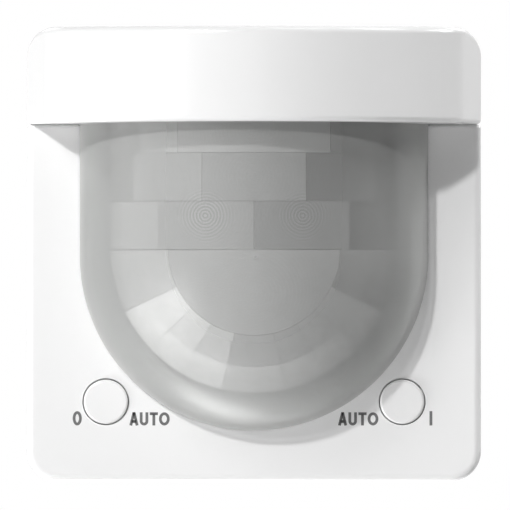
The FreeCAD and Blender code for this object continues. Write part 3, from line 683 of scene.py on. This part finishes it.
stroke_mesh("legend_zero", ring(zero_x, zero_width, figure_height))
stroke_mesh("legend_auto_left", word_auto(left_word_x))
stroke_mesh("legend_auto_right", word_auto(right_word_x))
stroke_mesh("legend_one", [([(one_x, baseline), (one_x, baseline + figure_height)], False)])


# Floor, light and camera

# The floor lies below the object, in metres. Its glow shows to the camera, in reflections and
# through glass alone
floor_drop = 0.36
floor_radius = 2.5
floor_sides = 96
floor_shade = 0.68
floor_glow = 0.46

# Strength of the white surroundings as light on the object
sky_strength = 0.06


def seen_rays(tree):
    """1 for rays from the camera and those in reflections and through glass, else 0."""
    path = tree.nodes.new("ShaderNodeLightPath")
    seen = path.outputs["Is Camera Ray"]
    for ray in ("Is Glossy Ray", "Is Transmission Ray"):
        most = tree.nodes.new("ShaderNodeMath")
        most.operation = "MAXIMUM"
        tree.links.new(seen, most.inputs[0])
        tree.links.new(path.outputs[ray], most.inputs[1])
        seen = most.outputs["Value"]
    return seen


def pale_floor():
    """A matt floor that looks pale to the camera and shows the object's shadow."""
    material = make_material("floor_pale", Roughness=0.8)
    shader = shader_of(material)
    shader.inputs["Base Color"].default_value = (floor_shade, floor_shade, floor_shade, 1)
    shader.inputs["Emission Color"].default_value = (1, 1, 1, 1)
    glow = ramp(material, seen_rays(material.node_tree), 0.0, floor_glow)
    material.node_tree.links.new(glow, shader.inputs["Emission Strength"])
    return material


bpy.ops.mesh.primitive_circle_add(vertices=floor_sides, radius=floor_radius, fill_type="NGON",
                                  location=(0, 0, -floor_drop))
floor = bpy.context.object
floor.name = "floor"
floor.data.materials.append(pale_floor())


def white_surround():
    """A world that is white to the camera and in reflections, and gives a softer even light."""
    world = bpy.data.worlds.new("surround")
    bpy.context.scene.world = world
    world.use_nodes = True
    tree = world.node_tree
    background = tree.nodes["Background"]
    background.inputs["Color"].default_value = (1, 1, 1, 1)
    level = tree.nodes.new("ShaderNodeMapRange")
    level.inputs["To Min"].default_value = sky_strength
    level.inputs["To Max"].default_value = 1.0
    tree.links.new(seen_rays(tree), level.inputs["Value"])
    tree.links.new(level.outputs["Result"], background.inputs["Strength"])


white_surround()


def area_light(name, place, width, height, power):
    """A rectangular lamp that faces the object."""
    data = bpy.data.lights.new(name, "AREA")
    data.shape = "RECTANGLE"
    data.size = width
    data.size_y = height
    data.energy = power
    lamp = bpy.data.objects.new(name, data)
    bpy.context.scene.collection.objects.link(lamp)
    lamp.location = place
    lamp.rotation_mode = "QUATERNION"
    lamp.rotation_quaternion = Vector(place).to_track_quat("Z", "Y")
    return lamp


def lamp_place(azimuth, elevation, away):
    """A place this far from the object: degrees to the right of straight ahead, and degrees up."""
    turn, rise = math.radians(azimuth), math.radians(elevation)
    level = math.cos(rise)
    return Vector((math.sin(turn) * level, -math.cos(turn) * level, math.sin(rise))) * away


# The key lamp is small, so that hood and dome throw clear shadows: place, size and power
key_place = Vector((-0.30, -0.78, 0.385))
key_size = 0.042
key_power = 3.9
area_light("key", key_place, key_size, key_size, key_power)

# Soft panels: name, degrees right and up, distance, size and power
panels = [
    ("top_left", -34, 36, 1.2, 0.40, 3.2),
    ("front_left", -42, 5, 1.2, 0.40, 0.65),
    ("top_right", 40, 70, 1.2, 0.40, 1.2),
    ("right", 88, 54, 1.2, 0.40, 3.4),
    ("right_rim", 112, 28, 1.2, 0.40, 5.8),
    ("left", -72, -32, 0.48, 0.18, 1.08),
    ("low_left", -154, -50, 0.38, 0.18, 1.6),
    ("front", 0, 0, 1.15, 0.22, 0.06),
    ("back_left", -150, 25, 1.2, 0.40, 1.0),
    ("back_right", 150, 25, 1.2, 0.40, 1.0),
]
for name, azimuth, elevation, away, size, power in panels:
    panel = area_light(name, lamp_place(azimuth, elevation, away), size, size, power)
    panel.visible_camera = False

# The camera stands a metre off the cover's face. The photograph's frame and the cover's width in
# it, in pixels, give the lens, and the cover sits a pixel off the middle
camera_distance = 1.0
picture = 510
plate_pixels = 454.5
plate_size = 65.0 * mm
sensor = 36.0
nearest, farthest = 0.05, 20
camera_data = bpy.data.cameras.new("camera")
camera_data.sensor_width = sensor
focal_pixels = plate_pixels / plate_size * camera_distance
camera_data.lens = focal_pixels / picture * sensor
camera_data.clip_start = nearest
camera_data.clip_end = farthest
camera = bpy.data.objects.new("camera", camera_data)
bpy.context.scene.collection.objects.link(camera)
pixel = plate_size / plate_pixels
camera.location = (pixel, plate_front - camera_distance, -pixel)
camera.rotation_euler = (math.radians(90), 0, 0)
bpy.context.scene.camera = camera

bpy.context.scene.view_settings.view_transform = "Standard"
